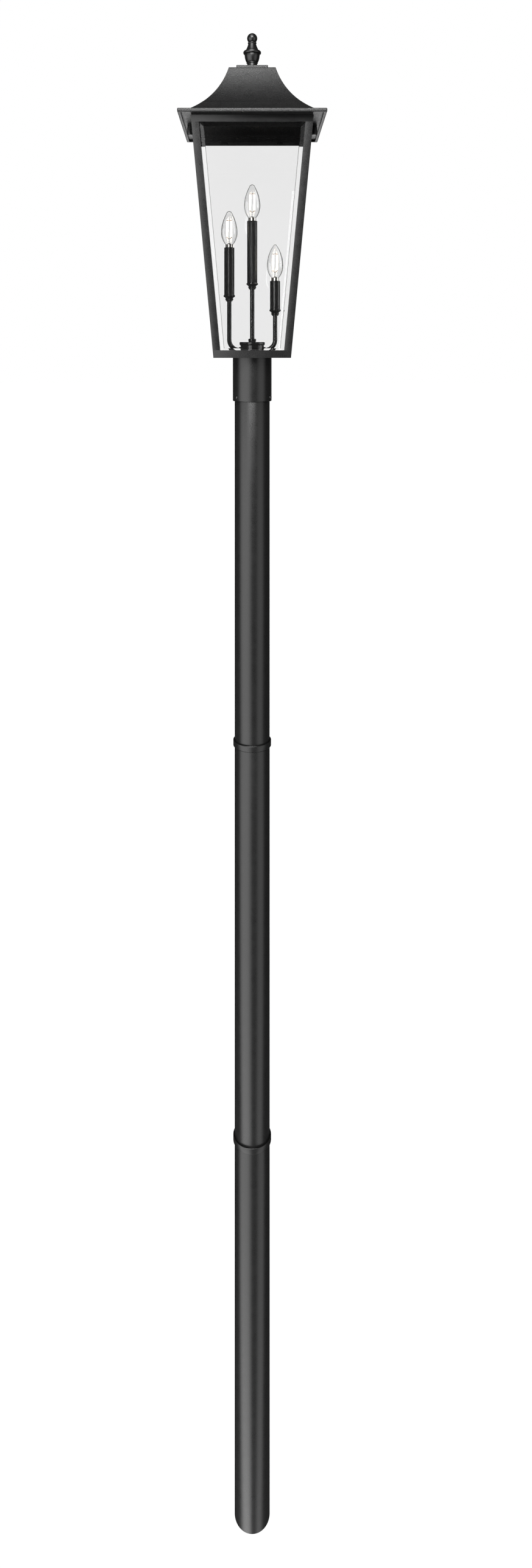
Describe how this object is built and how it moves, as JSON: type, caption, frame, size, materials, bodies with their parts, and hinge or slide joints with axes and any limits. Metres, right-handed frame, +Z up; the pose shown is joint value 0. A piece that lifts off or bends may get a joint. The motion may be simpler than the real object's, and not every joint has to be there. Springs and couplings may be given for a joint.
{
  "type": "post lantern",
  "caption": "Tall garden post lantern: sectional round post, tapered square glazed cage, bell roof with finial, and a cluster of candle lamps.",
  "frame": {"origin": "on the post's axis at its open bottom end", "axes": "+Z up along the post, the lantern's front faces -Y and its knobs lie along X"},
  "size_m": [0.304, 0.304, 3.2194],
  "materials": {
    "black_powder_coat": "satin",
    "clear_glass": "polished",
    "lamp_glass": "polished",
    "lamp_core": "polished",
    "nickel": "polished",
    "phenolic": "matte",
    "lead_insulation": "matte",
    "rubber": "matte",
    "zinc_steel": "brushed",
    "washer_nylon": "matte"
  },
  "bodies": {
    "post": {"post_lower": "black_powder_coat", "post_middle": "black_powder_coat", "post_upper": "black_powder_coat", "coupling_lower": "black_powder_coat", "coupling_upper": "black_powder_coat"},
    "lantern": {"arm_left": "black_powder_coat", "arm_nuts": "black_powder_coat", "arm_right": "black_powder_coat", "base_plate": "black_powder_coat", "bottom_rail": "black_powder_coat", "candle_cup_left": "black_powder_coat", "candle_cup_middle": "black_powder_coat", "candle_cup_right": "black_powder_coat", "candle_sleeve_left": "black_powder_coat", "candle_sleeve_middle": "black_powder_coat", "candle_sleeve_right": "black_powder_coat", "canopy_cup": "black_powder_coat", "canopy_lid": "black_powder_coat", "fitter_tube": "black_powder_coat", "glass_back": "clear_glass", "glass_clips": "black_powder_coat", "glass_front": "clear_glass", "glass_left": "clear_glass", "glass_right": "clear_glass", "lampholder_left": "phenolic", "lampholder_middle": "phenolic", "lampholder_right": "phenolic", "leads": "lead_insulation", "middle_stem": "black_powder_coat", "neck_nut": "black_powder_coat", "nipple": "zinc_steel", "nipple_nut": "zinc_steel", "roof_lugs": "black_powder_coat", "set_screws": "black_powder_coat", "stile_back_left": "black_powder_coat", "stile_back_right": "black_powder_coat", "stile_front_left": "black_powder_coat", "stile_front_right": "black_powder_coat", "top_rail": "black_powder_coat"},
    "roof": {"eave_plate": "black_powder_coat", "roof_collar": "black_powder_coat", "roof_seal": "rubber", "bell_roof": "black_powder_coat", "cap_plate": "black_powder_coat", "finial": "black_powder_coat", "finial_bolt": "zinc_steel"},
    "knob_washer_left": {"knob_washer_left": "washer_nylon"},
    "knob_left": {"knob_left": "black_powder_coat"},
    "knob_washer_right": {"knob_washer_right": "washer_nylon"},
    "knob_right": {"knob_right": "black_powder_coat"},
    "lamp_left": {"lamp_base_left": "nickel", "lamp_glass_left": "lamp_glass", "lamp_core_left": "lamp_core"},
    "lamp_middle": {"lamp_base_middle": "nickel", "lamp_glass_middle": "lamp_glass", "lamp_core_middle": "lamp_core"},
    "lamp_right": {"lamp_base_right": "nickel", "lamp_glass_right": "lamp_glass", "lamp_core_right": "lamp_core"}
  },
  "joints": [
    {"name": "lantern_turn", "type": "hinge", "parent": "post", "child": "lantern", "pos_m": [0, 0, 2.5144], "axis": [0, 0, 1], "range_deg": [-180, 180]},
    {"name": "roof_lift", "type": "slide", "parent": "lantern", "child": "roof", "axis": [0, 0, 1], "range_m": [0, 0.15]},
    {"name": "knob_left_travel", "type": "slide", "parent": "lantern", "child": "knob_washer_left", "axis": [0, 0, -1], "range_m": [0, 0.0064]},
    {"name": "knob_left_turn", "type": "hinge", "parent": "knob_washer_left", "child": "knob_left", "pos_m": [-0.13525, 0, 3.01], "axis": [0, 0, -1], "range_deg": [0, 2880]},
    {"name": "knob_right_travel", "type": "slide", "parent": "lantern", "child": "knob_washer_right", "axis": [0, 0, -1], "range_m": [0, 0.0064]},
    {"name": "knob_right_turn", "type": "hinge", "parent": "knob_washer_right", "child": "knob_right", "pos_m": [0.13525, 0, 3.01], "axis": [0, 0, -1], "range_deg": [0, 2880]},
    {"name": "lamp_left_turn", "type": "hinge", "parent": "lantern", "child": "lamp_left", "pos_m": [-0.0498, 0, 2.75], "axis": [0, 0, 1], "range_deg": [0, 1800]},
    {"name": "lamp_middle_turn", "type": "hinge", "parent": "lantern", "child": "lamp_middle", "pos_m": [0, 0, 2.75], "axis": [0, 0, 1], "range_deg": [0, 1800]},
    {"name": "lamp_right_turn", "type": "hinge", "parent": "lantern", "child": "lamp_right", "pos_m": [0.0498, 0, 2.75], "axis": [0, 0, 1], "range_deg": [0, 1800]}
  ],
  "couplings": [
    {"joint": "knob_left_travel", "follows": "knob_left_turn", "m_per_rad": 0.00012732},
    {"joint": "knob_right_travel", "follows": "knob_right_turn", "m_per_rad": 0.00012732}
  ]
}
